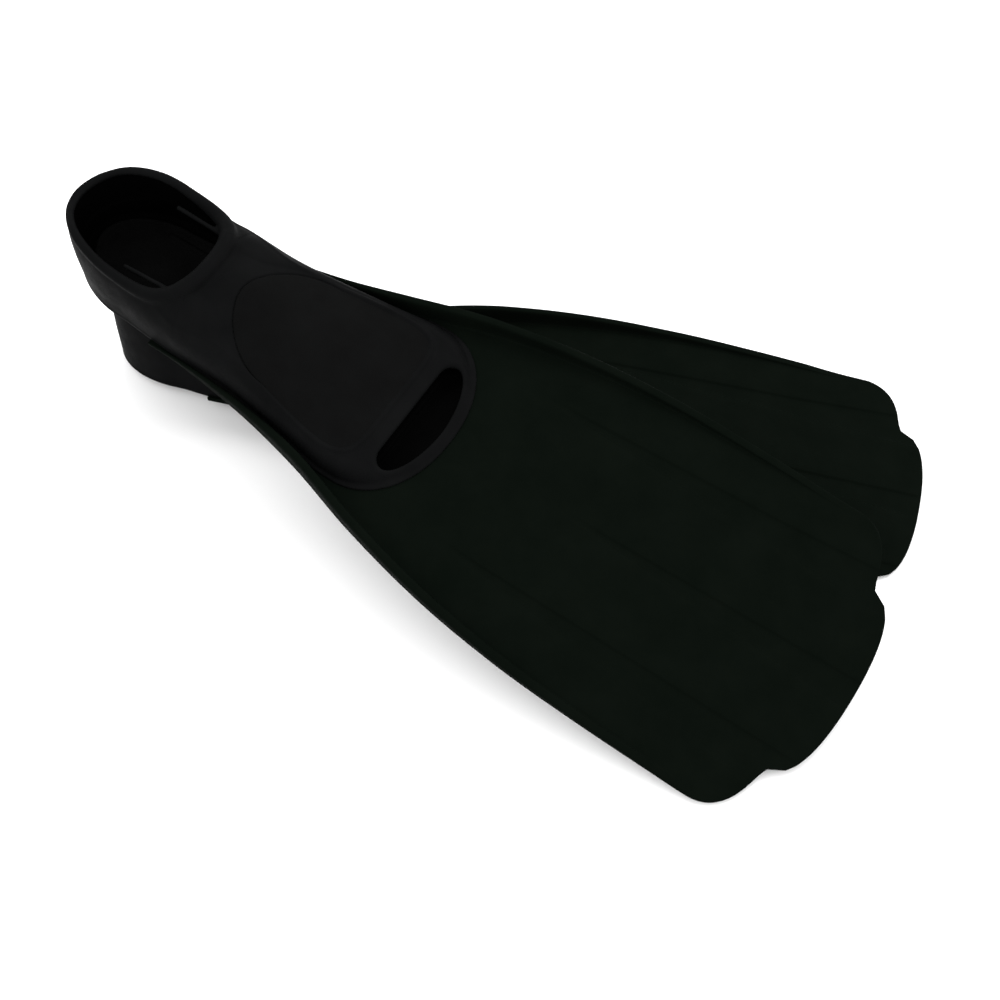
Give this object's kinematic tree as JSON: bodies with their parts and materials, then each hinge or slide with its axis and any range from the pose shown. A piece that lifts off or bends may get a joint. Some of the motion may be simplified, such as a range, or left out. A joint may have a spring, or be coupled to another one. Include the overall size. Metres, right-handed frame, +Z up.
{
  "type": "swim fins",
  "caption": "Matched full-foot swim fins with soft foot pockets, railed and fluted blades and three-lobed tips, one lying across the other",
  "frame": {"origin": "middle of the flat heel tread of the lower fin, on the floor it stands on, 30 mm in from the back of the heel (mount heel_rest)", "axes": "+X runs from the lower fin's heel to its blade tip, +Z is up off the floor, +Y is to the left of a wearer looking down the lower blade; the lower fin is symmetric about the XZ plane"},
  "size_m": [0.519, 0.3258, 0.1528],
  "materials": {
    "blade_plastic": "black polypropylene with a faint green cast, satin",
    "pocket_rubber": "black moulded rubber, fine matte grain",
    "soft_rubber": "softer black rubber, smooth matte",
    "bed_rubber": "black rubber inner sole, matte",
    "tread_rubber": "black rubber tread, matte"
  },
  "bodies": {
    "lower_fin": {"lower_blade_root": "blade_plastic", "lower_foot_pocket": "pocket_rubber", "lower_collar_roll": "pocket_rubber", "lower_instep_panel": "soft_rubber", "lower_toe_lip": "soft_rubber", "lower_foot_bed": "bed_rubber", "lower_heel_tread": "tread_rubber", "lower_ball_tread": "tread_rubber"},
    "lower_blade_end": {"lower_blade_tip": "blade_plastic"},
    "upper_fin": {"upper_blade_root": "blade_plastic", "upper_foot_pocket": "pocket_rubber", "upper_collar_roll": "pocket_rubber", "upper_instep_panel": "soft_rubber", "upper_toe_lip": "soft_rubber", "upper_foot_bed": "bed_rubber", "upper_heel_tread": "tread_rubber", "upper_ball_tread": "tread_rubber"},
    "upper_blade_end": {"upper_blade_tip": "blade_plastic"}
  },
  "joints": [
    {"name": "lower_blade_flex", "type": "hinge", "parent": "lower_fin", "child": "lower_blade_end", "pos_m": [0.309, 0, 0.01087], "axis": [0, -1, 0], "range_deg": [0, 10]},
    {"name": "upper_fin_lift", "type": "slide", "parent": "lower_fin", "child": "upper_fin", "axis": [0, 0, 1], "range_m": [0, 0.25]},
    {"name": "upper_blade_flex", "type": "hinge", "parent": "upper_fin", "child": "upper_blade_end", "pos_m": [0.30077, -0.1077, 0.05402], "axis": [-0.2967, -0.9293, -0.2201], "range_deg": [0, 30]}
  ]
}
